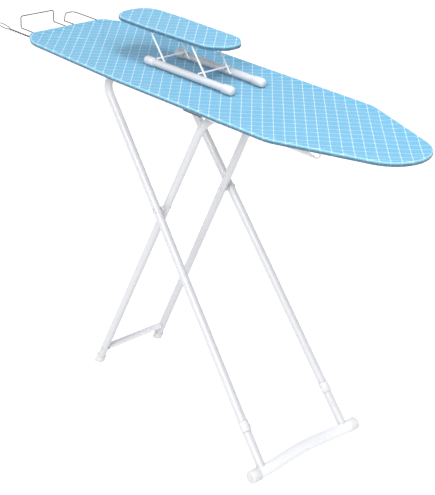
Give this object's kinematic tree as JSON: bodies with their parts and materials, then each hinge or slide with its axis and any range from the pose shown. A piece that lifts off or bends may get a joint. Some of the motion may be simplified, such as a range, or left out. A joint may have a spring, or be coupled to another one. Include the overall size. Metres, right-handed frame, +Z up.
{
  "type": "ironing board",
  "caption": "Folding ironing board with crossed tube legs, quilt-check cotton cover, wire iron rest and a folding sleeve board standing on top.",
  "frame": {"origin": "on the floor, under the middle of the object's box with the board standing open", "axes": "+X along the board from its square tail to its round nose, +Y across the board from its near side to its far side, +Z up"},
  "size_m": [1.3199, 0.3546, 0.91],
  "materials": {
    "white_tube": "glossy white powder coat on steel tube",
    "white_plastic": "moulded off-white plastic",
    "rest_steel": "bright drawn steel wire",
    "zinc_steel": "zinc-plated pressed steel",
    "deck_paint": "satin light grey paint",
    "dark_plastic": "dark moulded plastic",
    "blue_cotton": "sky-blue cotton with white diagonal lattice",
    "felt_pad": "cream needle felt"
  },
  "bodies": {
    "tabletop": {"deck_panel": "deck_paint", "deck_rim": "deck_paint", "board_pad": "felt_pad", "board_cover": "blue_cotton", "deck_brace_tail": "deck_paint", "deck_brace_middle": "deck_paint", "deck_brace_nose": "deck_paint", "spine_channel": "deck_paint", "hinge_strap_near": "zinc_steel", "hinge_strap_far": "zinc_steel", "hinge_screw_near_tail": "zinc_steel", "hinge_screw_near_nose": "zinc_steel", "hinge_screw_far_tail": "zinc_steel", "hinge_screw_far_nose": "zinc_steel", "rack_plate_near": "zinc_steel", "rack_plate_far": "zinc_steel", "lever_spring": "rest_steel", "rest_guide": "white_plastic", "cord_guide": "rest_steel"},
    "iron_rest": {"iron_stop_wire": "rest_steel", "iron_rest_loop": "rest_steel", "rest_tie_wire": "rest_steel"},
    "lever": {"release_lever": "zinc_steel", "lever_grip": "dark_plastic", "lock_pawl": "zinc_steel"},
    "outer_legs": {"outer_leg_frame": "white_tube", "leg_socket_near": "white_plastic", "leg_socket_far": "white_plastic", "foot_stub_near": "white_tube", "foot_stub_far": "white_tube", "outer_foot_bar": "white_tube", "foot_bar_cap_near": "white_plastic", "foot_bar_cap_far": "white_plastic", "stay_wire": "white_tube", "cross_spacer_near": "white_plastic", "cross_spacer_far": "white_plastic", "cross_rivet_near": "zinc_steel", "cross_rivet_far": "zinc_steel"},
    "inner_legs": {"inner_leg_frame": "white_tube", "inner_foot_cap_near": "white_plastic", "inner_foot_cap_far": "white_plastic", "inner_cross_tube": "white_tube", "cross_tube_screw_near": "white_tube", "cross_tube_screw_far": "white_tube"},
    "sleeve_base": {"sleeve_rail_near": "white_tube", "sleeve_rail_far": "white_tube", "rail_cap_near_tail": "white_plastic", "rail_cap_near_nose": "white_plastic", "rail_cap_far_tail": "white_plastic", "rail_cap_far_nose": "white_plastic", "stop_wire_tail": "white_tube", "stop_wire_nose": "white_tube"},
    "sleeve_frame_front": {"sleeve_frame_tail": "white_tube"},
    "sleeve_frame_rear": {"sleeve_frame_nose": "white_tube"},
    "sleeve_board": {"sleeve_panel": "deck_paint", "sleeve_pad": "felt_pad", "sleeve_cover": "blue_cotton", "sleeve_clip_tail": "zinc_steel", "sleeve_clip_nose": "zinc_steel"}
  },
  "joints": [
    {"name": "leg_fold", "type": "hinge", "parent": "tabletop", "child": "outer_legs", "pos_m": [-0.205, 0, 0.778], "axis": [0, -1, 0], "range_deg": [0, 47]},
    {"name": "inner_leg_fold", "type": "hinge", "parent": "outer_legs", "child": "inner_legs", "pos_m": [0.00821, 0, 0.51477], "axis": [0, 1, 0], "range_deg": [0, 111.76]},
    {"name": "release_squeeze", "type": "hinge", "parent": "tabletop", "child": "lever", "pos_m": [0.2, 0, 0.7845], "axis": [0, 1, 0], "range_deg": [0, 4], "stiffness_Nm_per_rad": 0.4, "springref_deg": -20.05},
    {"name": "iron_rest_slide", "type": "slide", "parent": "tabletop", "child": "iron_rest", "axis": [-1, 0, 0], "range_m": [-0.06, 0.09]},
    {"name": "sleeve_lift", "type": "slide", "parent": "tabletop", "child": "sleeve_base", "axis": [0, 0, 1], "range_m": [0, 0.25]},
    {"name": "sleeve_fold", "type": "hinge", "parent": "sleeve_base", "child": "sleeve_frame_front", "pos_m": [-0.076, 0, 0.8284], "axis": [0, 1, 0], "range_deg": [0, 122]},
    {"name": "sleeve_frame_rear_fold", "type": "hinge", "parent": "sleeve_base", "child": "sleeve_frame_rear", "pos_m": [0.064, 0, 0.8284], "axis": [0, 1, 0], "range_deg": [0, 122]},
    {"name": "sleeve_board_level", "type": "hinge", "parent": "sleeve_frame_front", "child": "sleeve_board", "pos_m": [-0.13107, 0, 0.8964], "axis": [0, -1, 0], "range_deg": [0, 122]}
  ],
  "couplings": [
    {"joint": "inner_leg_fold", "follows": "leg_fold", "ratio": 2.3715},
    {"joint": "sleeve_frame_rear_fold", "follows": "sleeve_fold", "ratio": 1},
    {"joint": "sleeve_board_level", "follows": "sleeve_fold", "ratio": 1}
  ]
}
